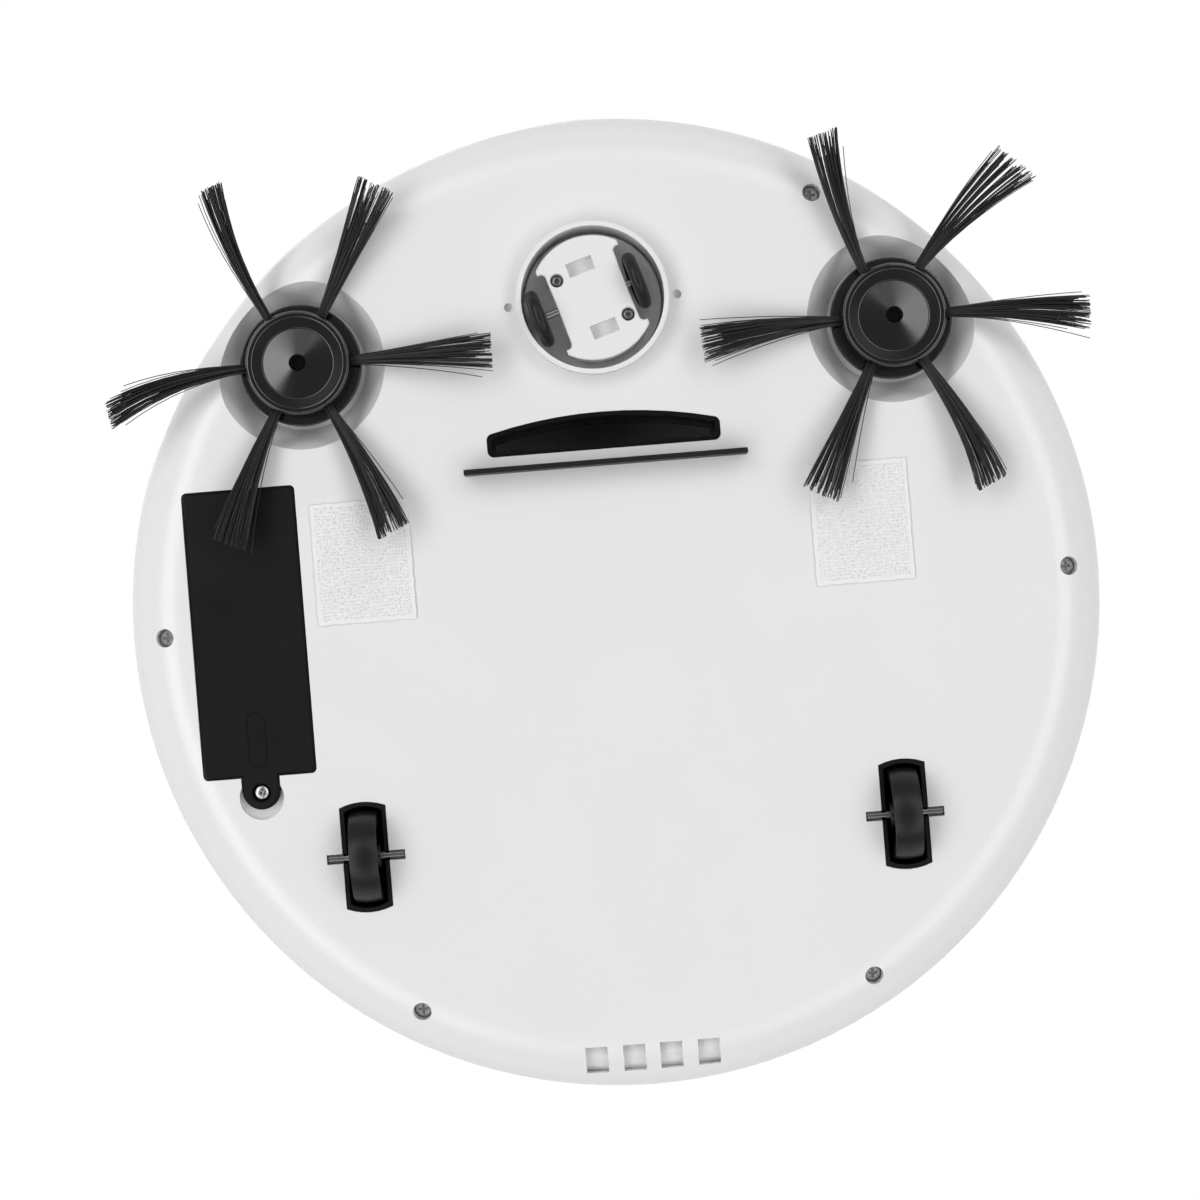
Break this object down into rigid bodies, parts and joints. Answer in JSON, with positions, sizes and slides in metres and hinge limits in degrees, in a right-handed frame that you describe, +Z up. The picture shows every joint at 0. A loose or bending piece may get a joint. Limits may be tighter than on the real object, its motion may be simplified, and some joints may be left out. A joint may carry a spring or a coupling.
{
  "type": "robot vacuum",
  "caption": "Round robot vacuum with bristle side brushes, a swivelling drive module, rear wheels, a suction mouth and a lift-out dust box.",
  "frame": {"origin": "on the floor, under the axis of the round body", "axes": "+Z up, front with the brushes to -Y, battery door on the -X side"},
  "size_m": [0.25, 0.25, 0.0719],
  "materials": {
    "white_plastic": "gloss moulded white",
    "black_plastic": "satin moulded black",
    "black_gloss_plastic": "gloss moulded black",
    "rubber": "matt black rubber",
    "tyre": "satin black rubber",
    "steel": "bright steel",
    "motor_can": "plated steel can",
    "black_screw": "blackened steel",
    "cell_wrap": "shrink wrap",
    "grey_plastic": "satin moulded grey",
    "smoke_plastic": "smoke grey moulding",
    "filter_paper": "pleated paper",
    "lens": "frosted",
    "board": "solder mask",
    "hook_fabric": "woven hook tape",
    "bristle": "nylon bristles",
    "nylon": "moulded nylon"
  },
  "bodies": {
    "base": {"bottom_shell": "white_plastic", "top_shell": "white_plastic", "fan_housing": "white_plastic", "battery_door": "black_plastic", "left_wheel_housing": "black_plastic", "right_wheel_housing": "black_plastic", "inlet_duct": "black_gloss_plastic", "wiper_strip": "rubber", "shell_screws": "steel", "battery_door_screw": "steel", "battery_contacts": "steel", "left_rear_axle": "steel", "right_rear_axle": "steel", "charge_socket": "steel", "drive_motor": "motor_can", "fan_motor": "motor_can", "left_brush_motor": "motor_can", "right_brush_motor": "motor_can", "battery_cell": "cell_wrap", "left_motor_bracket": "grey_plastic", "right_motor_bracket": "grey_plastic", "status_lens": "lens", "control_board": "board", "left_hook_pad": "hook_fabric", "right_hook_pad": "hook_fabric"},
    "left_brush": {"left_brush_hub": "black_gloss_plastic", "left_brush_tuft_1": "bristle", "left_brush_tuft_2": "bristle", "left_brush_tuft_3": "bristle", "left_brush_tuft_4": "bristle", "left_brush_tuft_5": "bristle", "left_brush_tuft_6": "bristle", "left_brush_gear": "nylon"},
    "right_brush": {"right_brush_hub": "black_gloss_plastic", "right_brush_tuft_1": "bristle", "right_brush_tuft_2": "bristle", "right_brush_tuft_3": "bristle", "right_brush_tuft_4": "bristle", "right_brush_tuft_5": "bristle", "right_brush_tuft_6": "bristle", "right_brush_gear": "nylon"},
    "left_pinion": {"left_motor_pinion": "nylon"},
    "right_pinion": {"right_motor_pinion": "nylon"},
    "turntable": {"turntable_housing": "white_plastic", "turntable_plate": "white_plastic", "turntable_screws": "black_screw", "turntable_ring": "steel"},
    "drive_wheels": {"drive_axle": "steel", "left_drive_wheel": "tyre", "right_drive_wheel": "tyre"},
    "drive_shaft": {"drive_shaft": "steel"},
    "left_wheel": {"left_rear_wheel": "tyre"},
    "right_wheel": {"right_rear_wheel": "tyre"},
    "fan": {"fan_impeller": "grey_plastic"},
    "dust_box": {"dust_box": "smoke_plastic", "dust_filter": "filter_paper"},
    "dust_cover": {"dust_cover": "white_plastic"},
    "power_button": {"power_button": "grey_plastic"}
  },
  "joints": [
    {"name": "left_brush_spin", "type": "hinge", "parent": "base", "child": "left_brush", "pos_m": [-0.0737, -0.065, 0.008], "axis": [0, 0, 1], "continuous": true},
    {"name": "right_brush_spin", "type": "hinge", "parent": "base", "child": "right_brush", "pos_m": [0.0737, -0.065, 0.008], "axis": [0, 0, 1], "continuous": true},
    {"name": "left_pinion_spin", "type": "hinge", "parent": "base", "child": "left_pinion", "pos_m": [-0.0569, -0.065, 0.024], "axis": [0, 0, 1], "continuous": true},
    {"name": "right_pinion_spin", "type": "hinge", "parent": "base", "child": "right_pinion", "pos_m": [0.0569, -0.065, 0.024], "axis": [0, 0, 1], "continuous": true},
    {"name": "turntable_swivel", "type": "hinge", "parent": "base", "child": "turntable", "pos_m": [0, -0.0754, 0.012], "axis": [0, 0, 1], "continuous": true},
    {"name": "drive_wheel_spin", "type": "hinge", "parent": "turntable", "child": "drive_wheels", "pos_m": [0, -0.0754, 0.0073], "axis": [0.9563, -0.2924, 0], "continuous": true},
    {"name": "drive_shaft_spin", "type": "hinge", "parent": "turntable", "child": "drive_shaft", "pos_m": [0, -0.0754, 0.02], "axis": [0, 0, 1], "continuous": true},
    {"name": "left_wheel_spin", "type": "hinge", "parent": "base", "child": "left_wheel", "pos_m": [-0.0671, 0.0581, 0.0114], "axis": [1, 0, 0], "continuous": true},
    {"name": "right_wheel_spin", "type": "hinge", "parent": "base", "child": "right_wheel", "pos_m": [0.0671, 0.0581, 0.0114], "axis": [1, 0, 0], "continuous": true},
    {"name": "fan_spin", "type": "hinge", "parent": "base", "child": "fan", "pos_m": [0, 0.055, 0.038], "axis": [0, 1, 0], "continuous": true},
    {"name": "dust_box_lift", "type": "slide", "parent": "base", "child": "dust_box", "axis": [0, 0, 1], "range_m": [0, 0.06]},
    {"name": "dust_cover_hinge", "type": "hinge", "parent": "dust_box", "child": "dust_cover", "pos_m": [0, 0.0578, 0.06968], "axis": [-1, 0, 0], "range_deg": [0, 100]},
    {"name": "power_button_press", "type": "slide", "parent": "base", "child": "power_button", "axis": [0, 0, -1], "range_m": [0, 0.001], "stiffness_N_per_m": 300, "springref_m": -0.0005}
  ],
  "couplings": [
    {"joint": "left_pinion_spin", "follows": "left_brush_spin", "ratio": -2.5},
    {"joint": "right_pinion_spin", "follows": "right_brush_spin", "ratio": -2.5},
    {"joint": "drive_shaft_spin", "follows": "drive_wheel_spin", "ratio": 2}
  ]
}
